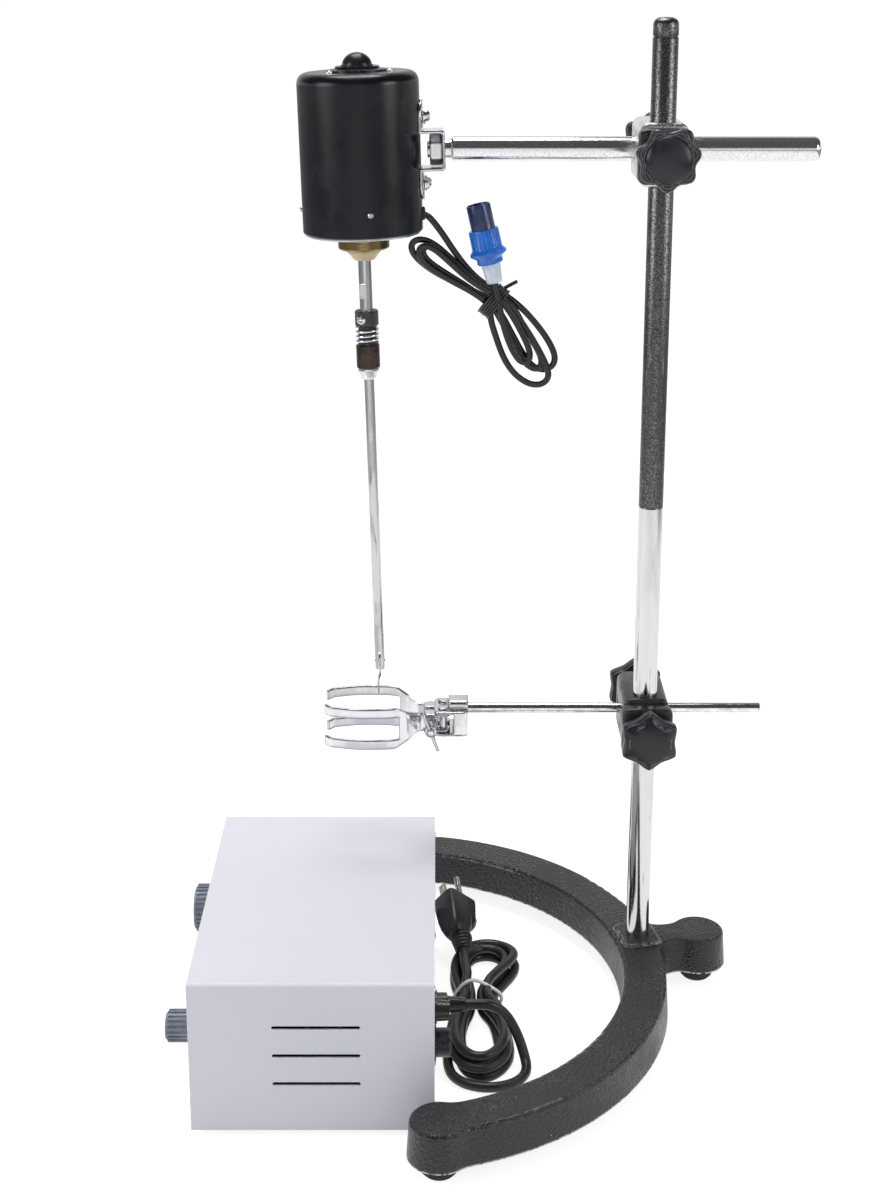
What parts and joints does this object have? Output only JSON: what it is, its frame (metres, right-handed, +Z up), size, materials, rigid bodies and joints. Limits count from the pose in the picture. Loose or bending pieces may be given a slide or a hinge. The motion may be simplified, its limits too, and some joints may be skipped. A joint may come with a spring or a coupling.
{
  "type": "overhead stirrer",
  "caption": "Overhead stirrer: a small motor on a clamped arm above a half-ring stand, with a chuck, stirring rod, flask clamp and separate speed controller.",
  "frame": {"origin": "on the bench, under the middle of the footprint of the stand and controller together (cords left out)", "axes": "+Z up along the upright, +X to the free ends of the arm and clamp rod, +Y from the front knobs of the boss heads to the rear knobs"},
  "size_m": [0.4408, 0.4066, 0.702],
  "materials": {
    "cast_black": "crinkle black enamel, worn on the edges",
    "rubber": "matt",
    "chrome_rod": "plated, worn",
    "zinc": "bright zinc plate",
    "cast_silver": "raw casting",
    "cast_grey": "dark grey paint",
    "knob_black": "moulded",
    "enamel_black": "gloss enamel",
    "bare_steel": "turned",
    "black_oxide": "knurled, blackened",
    "brass": "yellow passivated",
    "cream_plastic": "moulded",
    "winding": "enamelled copper",
    "laminations": "stacked sheet",
    "case_grey": "smooth powder coat",
    "panel_grey": "satin",
    "knob_grey": "ribbed",
    "board_green": "fibre board",
    "cord_black": "flexible sheath",
    "connector_blue": "moulded"
  },
  "bodies": {
    "stand": {"base_casting": "cast_black", "rubber_feet": "rubber", "lower_upright": "chrome_rod", "upper_upright": "chrome_rod", "foot_nut": "zinc", "case_cover": "case_grey", "case_chassis": "panel_grey", "case_feet": "rubber", "circuit_board": "board_green", "panel_controls": "board_green", "switch_frame": "knob_black", "motor_socket": "bare_steel", "fuse_holder": "knob_black", "cable_gland": "cord_black", "mains_cord": "cord_black", "mains_hank": "cord_black", "plug_body": "cord_black", "plug_pins": "zinc"},
    "upper_boss": {"upper_boss_casting": "cast_silver"},
    "upper_front_lock": {"upper_front_knob": "knob_black", "upper_front_screw": "zinc"},
    "upper_rear_lock": {"upper_rear_knob": "knob_black", "upper_rear_screw": "zinc"},
    "arm": {"arm_rod": "chrome_rod", "bracket": "zinc", "bracket_nut": "zinc", "motor_can": "enamel_black", "end_plate": "bare_steel", "top_cover": "enamel_black", "dome_cap": "knob_black", "motor_screws": "zinc", "motor_bearings": "bare_steel", "stator": "laminations", "brush_holders": "black_oxide", "brass_boss": "brass", "oil_seal": "cream_plastic", "motor_lead": "cord_black", "lead_hank": "cord_black", "lead_connector": "connector_blue"},
    "rotor": {"motor_shaft": "chrome_rod", "rotor_core": "winding", "chuck_body": "black_oxide", "chuck_screw": "zinc", "chuck_spring": "bare_steel", "stirring_rod": "chrome_rod"},
    "sleeve": {"chuck_sleeve": "black_oxide"},
    "blade": {"stirring_blade": "bare_steel"},
    "lower_boss": {"lower_boss_casting": "cast_grey"},
    "lower_front_lock": {"lower_front_knob": "knob_black", "lower_front_screw": "zinc"},
    "lower_rear_lock": {"lower_rear_knob": "knob_black", "lower_rear_screw": "zinc"},
    "clamp": {"clamp_rod": "chrome_rod", "clamp_body": "zinc"},
    "rear_jaw": {"rear_jaw": "zinc"},
    "front_jaw": {"front_jaw": "zinc"},
    "wing": {"wing_screw": "zinc"},
    "speed": {"speed_knob": "knob_grey"},
    "timer": {"timer_knob": "knob_grey"},
    "power": {"rocker": "knob_black"}
  },
  "joints": [
    {"name": "upper_boss_slide", "type": "slide", "parent": "stand", "child": "upper_boss", "axis": [0, 0, 1], "range_m": [0, 0.045]},
    {"name": "upper_front_lock_turn", "type": "hinge", "parent": "upper_boss", "child": "upper_front_lock", "pos_m": [0.1069, 0.01447, 0.614], "axis": [0, -1, 0], "range_deg": [0, 360]},
    {"name": "upper_rear_lock_turn", "type": "hinge", "parent": "upper_boss", "child": "upper_rear_lock", "pos_m": [0.1069, 0.09446, 0.614], "axis": [0, 1, 0], "range_deg": [0, 360]},
    {"name": "arm_slide", "type": "slide", "parent": "upper_boss", "child": "arm", "axis": [1, 0, 0], "range_m": [-0.08, 0.035]},
    {"name": "rotor_spin", "type": "hinge", "parent": "arm", "child": "rotor", "pos_m": [-0.09348, 0.06946, 0.61229], "axis": [-0.0279, 0, 0.9996], "continuous": true},
    {"name": "sleeve_slide", "type": "slide", "parent": "rotor", "child": "sleeve", "axis": [-0.0279, 0, 0.9996], "range_m": [0, 0.006], "stiffness_N_per_m": 600, "springref_m": -0.004, "deforming": ["chuck_spring"]},
    {"name": "blade_swing", "type": "hinge", "parent": "rotor", "child": "blade", "pos_m": [-0.0832, 0.06946, 0.24443], "axis": [0.9996, 0, 0.0279], "range_deg": [-90, 90]},
    {"name": "lower_boss_slide", "type": "slide", "parent": "stand", "child": "lower_boss", "axis": [0, 0, 1], "range_m": [-0.07, 0]},
    {"name": "lower_front_lock_turn", "type": "hinge", "parent": "lower_boss", "child": "lower_front_lock", "pos_m": [0.1069, 0.01447, 0.21], "axis": [0, -1, 0], "range_deg": [0, 360]},
    {"name": "lower_rear_lock_turn", "type": "hinge", "parent": "lower_boss", "child": "lower_rear_lock", "pos_m": [0.1069, 0.09446, 0.21], "axis": [0, 1, 0], "range_deg": [0, 360]},
    {"name": "clamp_slide", "type": "slide", "parent": "lower_boss", "child": "clamp", "axis": [1, 0, 0], "range_m": [-0.06, 0.06]},
    {"name": "front_jaw_turn", "type": "hinge", "parent": "clamp", "child": "front_jaw", "pos_m": [-0.0371, 0.05575, 0.2025], "axis": [0, 0, 1], "range_deg": [-6, 12]},
    {"name": "rear_jaw_turn", "type": "hinge", "parent": "clamp", "child": "rear_jaw", "pos_m": [-0.0371, 0.06975, 0.2025], "axis": [0, 0, -1], "range_deg": [-6, 12]},
    {"name": "wing_screw_turn", "type": "hinge", "parent": "clamp", "child": "wing", "pos_m": [-0.0461, 0.06275, 0.2025], "axis": [0, -1, 0], "range_deg": [0, 360]},
    {"name": "speed_turn", "type": "hinge", "parent": "stand", "child": "speed", "pos_m": [-0.2011, 0.04446, 0.058], "axis": [1, 0, 0], "range_deg": [0, 270]},
    {"name": "timer_turn", "type": "hinge", "parent": "stand", "child": "timer", "pos_m": [-0.2011, -0.11053, 0.058], "axis": [1, 0, 0], "range_deg": [0, 300]},
    {"name": "power_rock", "type": "hinge", "parent": "stand", "child": "power", "pos_m": [-0.1976, -0.03553, 0.058], "axis": [0, 0, 1], "range_deg": [0, 17]}
  ],
  "couplings": [
    {"joint": "rear_jaw_turn", "follows": "front_jaw_turn", "ratio": 1}
  ]
}
